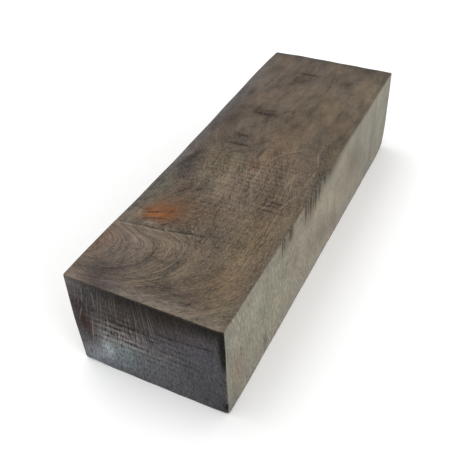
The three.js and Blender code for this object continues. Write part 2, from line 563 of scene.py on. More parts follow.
class Stains:
    """Soft stains, a painted reflection on the near end, and the patches where effects show, each placed one
    by one.
    """

    @staticmethod
    def top() -> list[Wash]:
        """Stains of the top face, from the near end to the far end."""
        return Wash.stains(
            Side.TOP,
            (-59, -11, 4.5, 6, 56, 54, 60, 20), (-54, -13.5, 3.6, 4, 76, 74, 76, 40),
            (-50, -11, 5, 3.4, 80, 78, 84), (-46.5, -18, 5, 2.8, 126, 106, 96),
            (-45, -12, 6, 3.4, 130, 127, 128), (-45, -5, 9, 12, 98, 100, 106),
            (-41.5, -10, 3.4, 8, 130, 127, 124), (-45, -4, 6, 3, 116, 112, 104),
            (-58.9, 4, 2.3, 15, 152, 164, 186), (-54.6, 6, 1.8, 9, 78, 78, 80, 8),
            (-59.5, -18, 3.2, 3, 140, 136, 136), (-52, 0, 3.4, 6, 74, 72, 70, 50),
            (-55.5, 8, 2.6, 7, 82, 82, 86, -20), (-46, 6, 7, 2.2, 80, 78, 74, -8),
            (-43.5, 3.2, 5, 1.3, 130, 122, 112, 4), (-35, -1, 2.6, 7, 80, 81, 80),
            (-34.2, -16.2, 1.9, 1, 134, 128, 118, -10), (-29, 0, 6, 5, 98, 90, 82),
            (-26.5, -10, 4, 5, 94, 80, 70, -30), (-38, -18, 20, 2.6, 110, 110, 112),
            (-49, 13.5, 7, 4.5, 116, 105, 88, 12), (-36, 14, 13, 4, 110, 105, 88),
            (-55, 17.5, 4, 3, 112, 122, 110), (-20, -17.5, 12, 2.6, 88, 102, 102),
            (-20, -10, 4, 3.6, 78, 74, 74, 40), (-15, -14.6, 4, 2.2, 62, 58, 64, 12),
            (-8.5, -16, 5, 1.5, 52, 54, 60, 12), (-12, -6.5, 5.5, 5, 142, 148, 142, 8),
            (-6, -7.5, 4, 5, 126, 126, 110, 8), (-20, 2, 7, 5, 130, 130, 132, 6),
            (-2, 3, 5, 4, 116, 112, 108), (-14, -2.5, 5, 3, 110, 110, 110),
            (-10, -18.5, 4, 1.6, 110, 112, 116), (0, 20.6, 90, 1.1, 72, 72, 72),
            (-58, 20.6, 6, 1.4, 78, 78, 78), (-8, 4, 10, 4, 126, 122, 118), (6, 5, 10, 6, 114, 110, 104),
            (-4.4, 1.2, 2, 2.4, 70, 62, 60), (-17.6, 12.6, 3.6, 5, 62, 58, 54),
            (-10.5, 11, 4, 4, 92, 90, 86), (-29, 12, 6, 4, 118, 116, 114), (0, 9, 6, 5, 104, 98, 92),
            (2.6, -7.5, 1.8, 5, 74, 74, 74), (7, -8, 1.8, 4, 74, 70, 74), (5, -1.5, 5, 2, 84, 86, 88),
            (12, 4, 10, 5, 110, 102, 92), (16, -18.4, 40, 2, 82, 92, 118),
            (18, -19.7, 44, 1, 106, 114, 134), (12, -14, 6, 2.4, 80, 76, 74),
            (13.5, -15.5, 5, 2.4, 72, 70, 74, 20), (21.5, -9.5, 3, 2.2, 60, 54, 50),
            (20.6, -4.5, 1.7, 4.2, 68, 62, 60), (14, -7, 3, 4, 110, 108, 106), (21, 1, 5, 1.4, 78, 76, 74),
            (18, 4.4, 2, 1.6, 76, 74, 72), (30.5, -16, 2.6, 1.4, 58, 56, 56),
            (31, -10.5, 6, 3.4, 118, 110, 104), (37.5, -9.6, 1.6, 1.6, 72, 70, 70),
            (43.2, -4, 3.2, 3.4, 62, 60, 56, 30), (41, -6.5, 3.4, 1.4, 76, 76, 76),
            (48.2, -4, 1.4, 4.6, 72, 70, 68), (36, -3.5, 4, 2.4, 112, 112, 110), (53, -3, 4, 5, 90, 86, 96),
            (51, -13, 6, 4, 112, 110, 106), (33, 8, 4, 4, 102, 104, 90), (47, 10, 2.4, 2, 62, 66, 62, 20),
            (43, 17, 9, 3.4, 118, 120, 108), (26, 11, 7, 4, 112, 106, 96, -20),
            (21, 15, 5, 2.6, 86, 80, 74), (56, 15, 3.6, 5, 80, 80, 76), (60, 0, 2.6, 40, 70, 71, 76),
            (39, 3, 8, 3, 104, 106, 98), (27, 6, 5, 2, 86, 86, 84, -14), (35, 14, 4, 2.2, 88, 86, 84, 10),
            (52, 5, 5, 2.6, 110, 108, 104, -8), (30, -3, 6, 1.8, 110, 106, 106, -10),
            (25, -14, 6, 1.8, 90, 84, 82, 8), (46, -12, 5, 2.2, 90, 88, 90), (13, 18, 16, 1.8, 96, 98, 86),
            (-52, -13, 11, 7, 97, 99, 108), (33, -14, 22, 6, 98, 100, 108), (-24, 14, 13, 6, 106, 101, 92),
        )

    @staticmethod
    def right() -> list[Wash]:
        """Stains of the right side, from the near end to the far end."""
        return Wash.stains(
            Side.RIGHT,
            (-59, 20, 2.4, 12, 86, 92, 97), (-38, 21, 3, 7, 84, 88, 86), (-55, 11, 3.6, 6, 92, 78, 72),
            (-57, 3, 3, 4, 62, 66, 70), (-48, 22, 6, 6, 102, 106, 102), (-40, 4, 1.2, 3.4, 50, 44, 46),
            (-33, 11, 6, 5, 108, 112, 104), (-29, 27, 4, 3.6, 62, 55, 44), (-25, 27.6, 3, 3, 60, 53, 42),
            (-11, 27.2, 6.5, 3.6, 38, 28, 10), (-11, 23.5, 4.5, 3, 74, 66, 56),
            (3, 27.8, 9, 2.8, 24, 17, 4), (24, 28.9, 24, 1.4, 40, 34, 26), (-22, 20, 3, 7, 86, 86, 84),
            (-4, 9, 7, 3.4, 74, 70, 66, -28), (2, 17, 12, 3.2, 126, 123, 118, -32),
            (8, 6, 7, 3, 72, 69, 67, -34), (16, 5, 4, 3, 96, 100, 114, -30),
            (25, 17, 9, 6.5, 70, 64, 58, -40), (14, 25, 9, 3, 114, 114, 110), (33, 23, 6, 4, 106, 110, 106),
            (43, 14, 2.2, 14, 78, 78, 80), (37.5, 13, 2.2, 9, 104, 106, 108), (40, 3, 3, 3, 80, 80, 94),
            (56, 16, 10, 16, 80, 84, 76), (30, 20, 14, 9, 90, 90, 90), (0, 1, 60, 3, 100, 102, 110),
            (8, 4, 26, 5, 114, 112, 110), (-50, 14, 16, 22, 95, 99, 101),
        )

    @staticmethod
    def near() -> list[Wash]:
        """Stains of the near end, from left to right, and a pale bluish painted reflection in its lower left.
        """
        return Wash.stains(
            Side.NEAR,
            (5, 29, 26, 5.6, 12, 8, 5), (4, 25, 15, 4.6, 55, 46, 38, -4), (-6, 20, 8, 4, 90, 76, 62, -4),
            (-16.8, 14.6, 3, 6.6, 42, 19, 16, 6), (-17.6, 20, 2.4, 3.6, 70, 62, 60, 8),
            # Painted reflection: the pale bluish ovals at (-11.8, 8.6), (-12, 6.5) and (-17, 2.5) lighten the
            # lower left as glare would.
            (-19.3, 24, 2.2, 5, 180, 175, 165), (-11.8, 8.6, 1.6, 3.2, 210, 210, 200, 4),
            (-12, 6.5, 6, 6.5, 210, 225, 230), (-7.5, 9, 4, 3.4, 116, 122, 120),
            (-17, 2.5, 5, 4, 210, 225, 230), (-12, 1.5, 3, 2.6, 80, 86, 92), (-3, 5, 7, 7, 140, 155, 154),
            (-7, 14.5, 6.5, 3.5, 174, 164, 150), (2, 10, 8, 6, 130, 132, 132),
            (13.5, 23.2, 6, 1.7, 190, 185, 210, 4), (12, 18, 6, 3, 106, 106, 124),
            # (19.6, 23) darkens a narrow strip down the right edge almost to black.
            (6, 2, 6, 3, 122, 124, 128), (15, 6, 5, 6, 92, 94, 100), (19.6, 23, 0.9, 8, 5, 7, 4),
            (17, 27.6, 4, 1.8, 30, 34, 26, 8), (19.4, 3, 1.2, 2.2, 30, 30, 30),
            (-17, 27.5, 5, 1.6, 190, 190, 180),
        )

    @staticmethod
    def hidden() -> list[Wash]:
        """Stains of the faces that the block hides when it is seen from the near right."""
        left = Wash.stains(
            Side.LEFT,
            (-50, 22, 9, 8, 80, 78, 83, 10), (-33, 24, 9, 6, 109, 98, 94),
            (-12, 20, 14, 9, 86, 90, 96, -12), (8, 8, 18, 6, 118, 119, 118, 8),
            (30, 18, 14, 7, 78, 77, 76, -10), (50, 10, 9, 10, 110, 110, 100),
        )
        far = Wash.stains(
            Side.FAR,
            (-8, 24, 12, 6, 78, 77, 76, 8), (10, 10, 9, 7, 86, 90, 96), (-12, 6, 8, 5, 118, 119, 118),
            (14, 25, 7, 4, 80, 78, 83),
        )
        bottom = Wash.stains(
            Side.BOTTOM,
            (-44, 6, 12, 8, 78, 77, 76, 12), (-18, -8, 16, 7, 110, 100, 86),
            (8, 9, 15, 6, 118, 119, 118, -8), (34, -6, 14, 8, 86, 90, 96), (50, 10, 8, 7, 80, 78, 83),
        )
        return left + far + bottom

    @classmethod
    def all(cls) -> list[Wash]:
        """Every wash on the block: stains and the painted reflection."""
        return cls.top() + cls.right() + cls.near() + cls.hidden()

    @staticmethod
    def drawn() -> list[Wash]:
        """Patches where pale threads or rays mark the grain."""
        top = Wash.patches(
            Side.TOP,
            (-49, -3, 8, 13, 1), (-38, 13.5, 22, 5.5, 1.15, -3), (-12, 13, 18, 4.5, 0.7, -8),
            (-22, -3, 8, 7, 0.35),
        )
        bottom = Wash.patches(Side.BOTTOM, (-10, 4, 50, 12, 0.6))
        near = Wash.patches(Side.NEAR, (-5, 22, 15, 8.5, 1))
        far = Wash.patches(Side.FAR, (6, 20, 12, 8, 0.8))
        return top + bottom + near + far

    @staticmethod
    def sawn() -> list[Wash]:
        """Patches where the saw left its marks."""
        top = Wash.patches(
            Side.TOP,
            (-17.6, 12.6, 3.8, 6, 0.7), (-8, 4, 9, 12, 0.5), (-24, -2, 7, 8, 0.4), (-37, -4, 5, 9, 0.45),
            (-56, 2, 4, 12, 0.6),
        )
        near = Wash.patches(Side.NEAR, (-4, 15.8, 12, 5.2, 1.4, -3))
        far = Wash.patches(Side.FAR, (4, 12, 12, 6, 0.8, 5))
        left = Wash.patches(Side.LEFT, (-20, 12, 20, 7, 0.7))
        bottom = Wash.patches(Side.BOTTOM, (18, 2, 24, 12, 0.7))
        return top + near + far + left + bottom


class Marks:
    """Thin marks: splits, torn grain, saw burns and pale lines."""

    # Y, length and gap of each torn split on the right side
    TORN = (
        (-29.8, 5.6, 0.42), (-28.9, 3.4, 0.50), (-25.4, 4.2, 0.70), (-24.1, 5.0, 0.50), (-15.3, 5.4, 0.80),
        (-13.6, 4.4, 0.60), (-11.9, 6.2, 0.70), (-10.2, 5.2, 0.60), (-8.4, 6.6, 0.80), (-6.7, 5.8, 0.60),
        (-5.6, 6.4, 0.50), (-2.2, 3.0, 0.70), (1.6, 2.4, 0.80),
    )
    # Height that they hang from, and the shares of their length above it and below it
    TORN_FROM = 28.9
    TORN_ABOVE = 0.6
    TORN_BELOW = 1.25
    TORN_LEAN = 0.25
    TORN_DEPTH = 0.3

    @classmethod
    def tears(cls) -> list[Stroke]:
        """Torn grain that hangs down the right side from the top edge."""
        return [
            Stroke(
                side=Side.RIGHT,
                start=(y, cls.TORN_FROM + cls.TORN_ABOVE * drop),
                end=(y + cls.TORN_LEAN, cls.TORN_FROM - cls.TORN_BELOW * drop),
                width=0.66 * gap + 0.14,
                strength=1.0,
                depth=cls.TORN_DEPTH,
            )
            for y, drop, gap in cls.TORN
        ]

    @staticmethod
    def splits() -> list[Stroke]:
        """Dark splits and saw burns on the top."""
        return Stroke.on(
            Side.TOP,
            (-39, -20.6, -38.3, -13, 0.36, 0.45, 0.2), (-38.4, -15.5, -37.5, -6.5, 0.42, 0.7, 0.25),
            (-37.8, -8.5, -35.6, 3.5, 0.42, 0.8, 0.2), (-36.4, 0, -34.4, 8.5, 0.4, 0.45),
            (2.4, -11.6, 2.9, -2.4, 0.7, 0.95, 0.16), (7.4, -10.4, 7, -5, 0.8, 0.8, 0.12),
            (-2.2, 0.4, 4.6, 0.9, 0.8, 0.65, 0.12), (-1, -7, 0, -2.2, 1.3, 0.5),
            (5.4, 1.2, 8.4, 2.2, 0.8, 0.35), (20, -11.8, 20.5, -1.8, 1, 1, 0.14),
            (18.6, -10.8, 25.4, -9.4, 1.3, 0.6), (20.6, -3.4, 27, 1.6, 0.6, 0.6),
            (23, -10.6, 29, -7.4, 0.7, 0.4), (17.2, -4.8, 20.4, -9, 0.6, 0.4),
            (26.2, 0.2, 31, 3.4, 0.6, 0.4), (10.8, -8.8, 14.6, -5.2, 0.5, 0.4),
            (9, -2, 15.6, 1.2, 0.5, 0.35), (34, -12.4, 38.6, -9, 0.8, 0.35),
            (38.4, -9.2, 41.4, -4.4, 0.7, 0.4), (45.2, 8.6, 49, 11.4, 1.1, 0.4),
            (-8.6, 0.2, -3.6, 2.8, 0.6, 0.45), (3, -3.6, 8.4, 1.4, 0.6, 0.6), (-6, -9.6, 1.8, -9, 0.5, 0.4),
            (3, -10.6, 7.2, -9, 0.5, 0.4), (43.6, -2, 52, 1.4, 0.6, 0.4), (21.6, -8.6, 23, -3.4, 1.1, 0.6),
            (17, 0.9, 20.2, 0.4, 0.9, 0.55), (22.6, 0.6, 25.6, 1, 0.9, 0.5),
            (28, -16.5, 33.4, -15.6, 1.4, 0.45), (41.2, -7.2, 44.2, -1.4, 1.4, 0.5),
            (40.6, -5, 46, -7.2, 1.1, 0.55), (47.8, -8.8, 48.3, 1.4, 1, 0.85, 0.15),
            (-15, -17.6, -3, -14.6, 1.2, 0.7), (-13.8, -15.4, -10.2, -12.8, 1.4, 0.5),
            (-24.5, -12.4, -19.5, -8.6, 0.7, 0.65), (-22.8, -9.4, -18.4, -5, 0.6, 0.55),
            (-26.6, -6, -22.6, -1.8, 0.6, 0.5), (-21.2, 8, -21, 17.6, 0.45, 0.75),
            (-19.5, 9, -19.2, 13.8, 0.5, 0.65), (-17.7, 9.8, -17.3, 16.8, 0.5, 0.7),
            (-15.6, 8.8, -15.3, 13.8, 0.45, 0.6), (-13.9, 11.4, -13.5, 17, 0.4, 0.4),
            (-36, -8, -35.9, 4, 0.55, 0.45), (-53.8, -12, -53.6, 15, 0.4, 0.35),
        )

    @staticmethod
    def burns() -> list[Stroke]:
        """Dark saw burns on the near end, below and beside its stained upper part, and a black strip down its
        right edge.
        """
        return Stroke.on(
            Side.NEAR,
            (-12.8, 19.4, -4.5, 19, 0.42, 0.6), (-6.5, 18.9, 3, 19.5, 0.4, 0.6),
            (1.5, 19.6, 10.5, 20.8, 0.38, 0.65), (9, 20.4, 19.2, 21.8, 0.36, 0.7),
            (-10.5, 16.9, -1.5, 16.6, 0.46, 0.6), (-0.5, 16.9, 7, 17.6, 0.4, 0.55),
            (-13, 14.4, -6.5, 13.6, 0.46, 0.6), (-7.5, 13.2, 0.5, 12.9, 0.44, 0.5),
            (2, 14.8, 8, 15, 0.36, 0.4), (-3.5, 10.8, 4, 10.9, 0.36, 0.35),
            # The last two strokes, at X 19.8, darken a narrow strip down the right edge almost to black and
            # cut it in a little.
            (19.8, 32, 19.7, 13.5, 1.3, 1, 0.25), (19.8, 4.6, 19.6, 1.4, 0.8, 0.9, 0.2),
        )

    @staticmethod
    def pale_top() -> list[Stroke]:
        """Light threads on the top: the lip of the split beside the knot, and loops of the grain."""
        return Stroke.on(
            Side.TOP,
            (-39.9, -20.5, -38.7, -12, 0.36, 0.5), (-38.9, -14, -38.2, -5, 0.36, 0.42),
            (-38.5, -7.5, -36.6, 1.5, 0.34, 0.32), (-35.6, -15.6, -32.6, -16.6, 0.6, 0.5),
            (-20, 7.5, -11.5, 3.6, 0.45, 0.34), (-13, 4, -2.5, 3.5, 0.45, 0.34),
            (-4, 3.4, 4.5, 6.8, 0.45, 0.34), (3, 6, 8, 12, 0.45, 0.34), (-21, 14.4, -10, 17.2, 0.45, 0.34),
            (-11.5, 16.9, 1, 17.5, 0.45, 0.34), (-0.5, 17.6, 8.5, 14.6, 0.45, 0.34),
            (-24, 10.2, -13, 12.6, 0.45, 0.34), (-14, 12.3, -2, 13.6, 0.45, 0.34),
            (-37.2, -14.2, -36, -8.6, 0.6, 0.4),
        )

    @staticmethod
    def pale_near() -> list[Stroke]:
        """Light threads on the near end, along its rays."""
        return Stroke.on(
            Side.NEAR,
            (-14, 19.6, -16, 7, 0.32, 0.45), (-15.2, 28, -16.4, 20.5, 0.26, 0.34),
            (-16.2, 21.4, -18.8, 14, 0.26, 0.34), (-12.6, 27.6, -12.9, 19.5, 0.26, 0.28),
            (-17.3, 27.4, -18, 21, 0.24, 0.26), (-9.4, 22, -10.6, 13, 0.26, 0.3),
            (-1.8, 24, -2.4, 12, 0.26, 0.26),
        )

    @classmethod
    def dark(cls) -> list[Stroke]:
        """Every dark mark on the block."""
        return cls.tears() + cls.splits() + cls.burns()


class Paint:
    """Writes the block's attributes: grain, rings, stains with a painted reflection, wear and the layout of
    its faces.
    """

    def __init__(self, blank: bpy.types.Object, place: np.ndarray, side: np.ndarray, size: Point) -> None:
        """Keeps what the attributes are worked out from.

        Args:
            blank: Object that carries the attributes.
            place: Place on the square block of each face corner.
            side: Index of the side that each face corner belongs to.
            size: Width, length and thickness of the block.
        """
        self.blank = blank
        self.place = place
        self.side = side
        self.size = size

    def write(self, name: str, kind: str, key: str, values: np.ndarray) -> None:
        """Stores one attribute on the face corners, with Blender's own names of its kind and its value."""
        layer = self.blank.data.attributes.new(name, kind, "CORNER")
        layer.data.foreach_set(key, np.ascontiguousarray(values, dtype=np.float32).ravel())

    def grain(self, flow: GrainFlow) -> None:
        """Writes how the grain runs.

        Args:
            flow: The block's grain.
        """
        grain = np.zeros((len(self.place), 3))
        ring = np.zeros(len(self.place))
        for side in Side:
            here = self.side == side.index
            grain[here], ring[here] = flow.coordinates(self.place[here], side)
        self.write("grain", "FLOAT_VECTOR", "vector", grain)
        self.write("ring", "FLOAT", "value", ring)

    def stains(self, washes: list[Wash]) -> None:
        """Writes the product of the washes' tints: stains, and a painted reflection on the near end.

        Args:
            washes: The stains and the painted reflection.
        """
        tint = np.ones((len(self.place), 4))
        for wash in washes:
            here = self.side == wash.side.index
            strength = wash.strength(self.place[here])[:, None]
            tint[here, :3] *= 1.0 + strength * (np.array(wash.tint) - 1.0)
        self.write("stain_and_reflection", "FLOAT_COLOR", "color", tint)

    def patches(self, name: str, patches: list[Wash]) -> None:
        """Writes how strongly an effect shows.

        Args:
            name: The attribute's name.
            patches: The effect's patches.
        """
        shown = np.zeros(len(self.place))
        for patch in patches:
            here = self.side == patch.side.index
            shown[here] = np.maximum(shown[here], patch.strength(self.place[here]) * patch.tint[0])
        self.write(name, "FLOAT", "value", shown)

    def crispness(self) -> None:
        """Writes how strongly the fine texture shows, from 0 to 1."""
        crisp = np.ones(len(self.place))
        for side, strength in EVEN.items():
            crisp[self.side == side.index] = strength
        for side, (start, stop, left) in FADING.items():
            here = self.side == side.index
            crisp[here] -= (1.0 - left) * ease(start, stop, self.place[here, 1])
        self.write("crisp", "FLOAT", "value", crisp)

    def edges(self) -> None:
        """Writes each corner's distance in millimetres from the nearest edge of its own face."""
        inset = np.full(len(self.place), self.size[1])
        middle = (0.0, 0.0, self.size[2] / 2)
        for side in Side:
            here = self.side == side.index
            for axis in side.across:
                offset = np.abs(self.place[here, axis] - middle[axis])
                inset[here] = np.minimum(inset[here], self.size[axis] / 2 - offset)
        self.write("inset", "FLOAT", "value", inset)

    def layout(self) -> None:
        """Lays the faces out on one sheet: the four long ones above each other, the ends beside."""
        width, length, thickness = self.size
        gap = 1.0
        starts = {
            Side.TOP: (0.0, 0.0),
            Side.BOTTOM: (0.0, width + gap),
            Side.RIGHT: (0.0, 2 * (width + gap)),
            Side.LEFT: (0.0, 2 * (width + gap) + thickness + gap),
            Side.NEAR: (length + gap, 0.0),
            Side.FAR: (length + gap, width + gap),
        }
        sheet = length + gap + thickness + gap
        spots = np.zeros((len(self.place), 2))
        corner = (-width / 2, -length / 2, 0.0)
        for side, start in starts.items():
            here = self.side == side.index
            order = side.across[::-1] if side.cut is Cut.END else side.across
            for column, axis in enumerate(order):
                spots[here, column] = self.place[here, axis] - corner[axis] + start[column]
        layer = self.blank.data.uv_layers.new(name="OFBake")
        layer.data.foreach_set("uv", ((spots + gap / 2) / sheet).astype(np.float32).ravel())


class Graph:
    """Builds a node tree with short calls. Most methods return the socket that they make."""

    def __init__(self, tree: bpy.types.NodeTree) -> None:
        """Keeps the tree that nodes are added to."""
        self.tree = tree

    def feed(self, socket: Socket, value: Value) -> None:
        """Links a socket to an input, or sets the input's own value.

        Args:
            socket: Input to feed.
            value: A socket, a number or a row of numbers.
        """
        if isinstance(value, bpy.types.NodeSocket):
            self.tree.links.new(value, socket)
        else:
            socket.default_value = value

    def node(self, kind: str, inputs: dict[Any, Value], **settings: Any) -> bpy.types.Node:
        """Adds a node.

        Args:
            kind: Blender's name of the node, without its ShaderNode prefix.
            inputs: Values of its inputs, by name or place.
            **settings: Properties to set on it.

        Returns:
            The node.
        """
        node = self.tree.nodes.new(f"ShaderNode{kind}")
        for name, value in settings.items():
            setattr(node, name, value)
        for name, value in inputs.items():
            self.feed(node.inputs[name], value)
        return node

    def math(self, operation: str, *values: Value, clamp: bool = False) -> Socket:
        """A Math node. Clamping keeps its result from 0 to 1."""
        return self.node("Math", dict(enumerate(values)), operation=operation, use_clamp=clamp).outputs[0]

    def vector(self, operation: str, first: Value, second: Value) -> Socket:
        """A Vector Math node of two vectors, or of a vector and the factor of a SCALE."""
        name = "Scale" if operation == "SCALE" else 1
        return self.node("VectorMath", {0: first, name: second}, operation=operation).outputs[0]

    def noise(
        self, vector: Value, scale: float, detail: float = 2.0, rough: float = 0.5, output: str = "Fac"
    ) -> Socket:
        """Soft noise from 0 to 1, read at a vector. Detail counts its finer layers."""
        inputs = {"Vector": vector, "Scale": scale, "Detail": detail, "Roughness": rough}
        return self.node("TexNoise", inputs).outputs[output]

    def step(
        self, value: Value, low: float, high: float, to_low: float = 0.0, to_high: float = 1.0
    ) -> Socket:
        """A smooth step from to_low to to_high. It may run downwards, with low above high."""
        inputs = {"Value": value, "From Min": low, "From Max": high, "To Min": to_low, "To Max": to_high}
        return self.node("MapRange", inputs, interpolation_type="SMOOTHSTEP").outputs["Result"]

    def mix(self, share: Value, first: Value, second: Value) -> Socket:
        """A mix of two colours. The share says how much there is of the second one."""
        return self.node("Mix", {"Factor": share, 6: first, 7: second}, data_type="RGBA").outputs[2]

    def times(self, first: Value, second: Value, clamp: bool = False) -> Socket:
        """The product of two values."""
        return self.math("MULTIPLY", first, second, clamp=clamp)

    def sum(self, *values: Value) -> Socket:
        """The sum of several values."""
        total = values[0]
        for value in values[1:]:
            total = self.math("ADD", total, value)
        return total

    def centred(self, value: Value, amount: Value) -> Socket:
        """A value from 0 to 1 turned into one about 0, times an amount."""
        return self.times(self.math("SUBTRACT", value, 0.5), amount)

    def attribute(self, name: str, output: str = "Fac") -> Socket:
        """An attribute of the mesh."""
        return self.node("Attribute", {}, attribute_name=name).outputs[output]

    def group(self, tree: bpy.types.NodeTree, output: str, **inputs: Value) -> Socket:
        """Places a node group, feeds its inputs by name and gives back one output."""
        return self.node("Group", inputs, node_tree=tree).outputs[output]


def make_group(
    name: str,
    inputs: dict[str, str],
    outputs: tuple[str, ...],
    fill: Callable[[Graph, dict[str, Socket]], tuple[Socket, ...]],
) -> bpy.types.NodeTree:
    """Makes a shader node group.

    Args:
        name: The group's name.
        inputs: Kind of each input, by name.
        outputs: Names of the outputs, which are numbers.
        fill: Builds the group from its inputs and gives back its outputs.

    Returns:
        The group.
    """
    tree = bpy.data.node_groups.new(name, "ShaderNodeTree")
    for title, kind in inputs.items():
        tree.interface.new_socket(name=title, in_out="INPUT", socket_type=f"NodeSocket{kind}")
    for title in outputs:
        tree.interface.new_socket(name=title, in_out="OUTPUT", socket_type="NodeSocketFloat")
    way_in = tree.nodes.new("NodeGroupInput")
    way_out = tree.nodes.new("NodeGroupOutput")
    made = fill(Graph(tree), {title: way_in.outputs[title] for title in inputs})
    for title, socket in zip(outputs, made):
        tree.links.new(socket, way_out.inputs[title])
    return tree


class WoodEffects:
    """The node groups that all the cuts of the wood share."""

    def __init__(self) -> None:
        """Builds each group once."""
        streak = {"Grain": "Vector", "Long": "Float", "Wide": "Float"}
        self.streaks = make_group("wood_streaks", streak, ("Streaks",), self.fill_streaks)
        ring = {"Ring": "Float", "Place": "Vector", "Pitch": "Float", "Wobble": "Float", "Bold": "Float"}
        self.rings = make_group("growth_rings", ring, ("Bands", "Threads"), self.fill_rings)
        saw = {"Travel": "Float", "Place": "Vector", "Pitch": "Float"}
        self.saw = make_group("saw_marks", saw, ("Ridges",), self.fill_saw)
        oval = dict.fromkeys(("Place", "Middle", "Turn", "Reach"), "Vector")
        oval["Strength"] = "Float"
        self.stroke = make_group("stroke", oval, ("Mask",), self.fill_stroke)
        wear = {"Inset": "Float", "Place": "Vector", "Reach": "Float"}
        self.wear = make_group("edge_wear", wear, ("Worn",), self.fill_wear)

    @staticmethod
    def fill_streaks(graph: Graph, given: dict[str, Socket]) -> tuple[Socket, ...]:
        """Noise that is drawn out along the grain."""
        size = graph.node("CombineXYZ", {0: given["Long"], 1: given["Wide"], 2: 3.0})
        shaped = graph.vector("DIVIDE", given["Grain"], size.outputs[0])
        return (graph.noise(shaped, 1.0, 2.5, 0.55),)

    @staticmethod
    def fill_rings(graph: Graph, given: dict[str, Socket]) -> tuple[Socket, ...]:
        """Broad bands and fine threads that follow the growth rings."""
        wobble = graph.centred(graph.noise(given["Place"], 0.09), given["Wobble"])
        shifted = graph.math("ADD", given["Ring"], wobble)
        ring = graph.math("DIVIDE", shifted, given["Pitch"])
        drift = graph.vector("SCALE", given["Place"], 0.02)
        across = graph.node("CombineXYZ", {0: ring})
        bands = graph.noise(graph.vector("ADD", across.outputs[0], drift), 0.55, 3.0, 0.6)
        chance = graph.node("TexWhiteNoise", {"W": graph.math("ROUND", ring)}, noise_dimensions="1D")
        main = graph.step(graph.math("PINGPONG", ring, 0.5), 0.19, 0.03)
        main = graph.times(main, graph.step(chance.outputs["Value"], 0.1, 0.9, 0.15, 1.0))
        minor = graph.step(graph.math("PINGPONG", graph.times(ring, 2.37), 0.5), 0.24, 0.04, 0.0, 0.5)
        bold = graph.step(graph.math("ABSOLUTE", graph.math("SUBTRACT", shifted, given["Bold"])), 0.85, 0.15)
        return bands, graph.math("MAXIMUM", graph.math("MAXIMUM", main, minor), bold)

    @staticmethod
    def fill_saw(graph: Graph, given: dict[str, Socket]) -> tuple[Socket, ...]:
        """Uneven ridges that the saw's teeth left across the cut."""
        shift = graph.centred(graph.noise(given["Place"], 0.35), 1.3)
        turns = graph.math("DIVIDE", graph.math("ADD", given["Travel"], shift), given["Pitch"])
        wave = graph.math("SINE", graph.times(turns, 2 * math.pi))
        return (graph.times(wave, graph.step(graph.noise(given["Place"], 0.24, 3.0), 0.36, 0.58)),)

    @staticmethod
    def fill_stroke(graph: Graph, given: dict[str, Socket]) -> tuple[Socket, ...]:
        """One thin mark with soft sides."""
        names = {"Vector": "Place", "Location": "Middle", "Rotation": "Turn", "Scale": "Reach"}
        inputs = {name: given[source] for name, source in names.items()}
        placed = graph.node("Mapping", inputs, vector_type="TEXTURE")
        ball = graph.node("TexGradient", {"Vector": placed.outputs["Vector"]}, gradient_type="SPHERICAL")
        return (graph.times(graph.step(ball.outputs["Fac"], 0.0, 0.62), given["Strength"]),)

    @staticmethod
    def fill_wear(graph: Graph, given: dict[str, Socket]) -> tuple[Socket, ...]:
        """Where handling has rubbed the edges."""
        ragged = graph.centred(graph.noise(given["Place"], 0.9, 3.0), 1.4)
        inset = graph.math("ADD", given["Inset"], graph.times(ragged, given["Reach"]))
        return (graph.step(graph.math("DIVIDE", inset, given["Reach"]), 1.0, 0.15),)


@dataclass(frozen=True)
class BeechColours:
    """Colours of the wood and of what the resin did to it; the quarter-sawn colour also holds some painted
    sheen.
    """

    warm_shift: Colour = (1.02, 0.985, 0.98, 1.0)
    cool_shift: Colour = (0.98, 1.01, 1.01, 1.0)
    flat: Colour = linear(86, 75, 63)
    # Partly painted sheen: the quarter-sawn colour is paler and greyer than the flat-sawn one, standing in
    # for the whitish sheen that the sides show at a grazing view.
    quarter: Colour = linear(105, 99, 85)
    end: Colour = linear(62, 61, 63)
    ink: Colour = linear(40, 29, 17)
    burn: Colour = linear(24, 18, 8)
    char: Colour = linear(13, 13, 11)
    pale: Colour = linear(140, 130, 116)
    ray: Colour = linear(122, 110, 102)
    fibre: Colour = linear(132, 126, 118)
    gold: Colour = linear(136, 121, 101)
    amber: Colour = linear(112, 68, 30)
    amber_light: Colour = linear(150, 90, 40)
    amber_dark: Colour = linear(50, 28, 15)


@dataclass(frozen=True)
class CutFinish:
    """How strongly each effect shows on one kind of cut.

    Attributes:
        cut: The kind of cut.
        base: Colour under everything else.
        ink: Colour of the dark marks.
        marks: Dark strokes that reach this cut.
        lines: Pale strokes that reach this cut.
        streak_long: Length of a streak.
        streak_wide: Width of a streak.
        streak_tone: How much streaks change the tone.
        broad_tone: How much broad, soft streaks change it.
        blotch_tone: How much blotches change it where the fine texture has faded.
        fleck_tone: How much fine flecks change the tone.
        fibre_share: How grey the light flecks are.
        ring_pitch: Typical distance between rings.
        ring_tone: How much the rings' bands change the tone.
        ray_share: How much of the pale rays shows.
        thread_share: How much of the gold threads shows.
        cloud_tone: How much broad clouds change the tone.
        saw_pitch: Distance between saw marks.
        saw_tone: How much saw marks change the tone.
        sawn_tone: How much more they change it in the roughly sawn patches.
        roughness: Middle roughness.
        shine: Specular level.
        ragged: How far the sides of its marks stray, in millimetres.
    """

    cut: Cut
    base: Colour
    ink: Colour
    marks: tuple[Stroke, ...]
    lines: tuple[Stroke, ...]
    streak_long: float
    streak_wide: float
    streak_tone: float
    broad_tone: float
    blotch_tone: float
    fleck_tone: float
    fibre_share: float
    ring_pitch: float
    ring_tone: float
    ray_share: float
    thread_share: float
    cloud_tone: float
    saw_pitch: float
    saw_tone: float
    sawn_tone: float
    roughness: float
    shine: float
    ragged: float


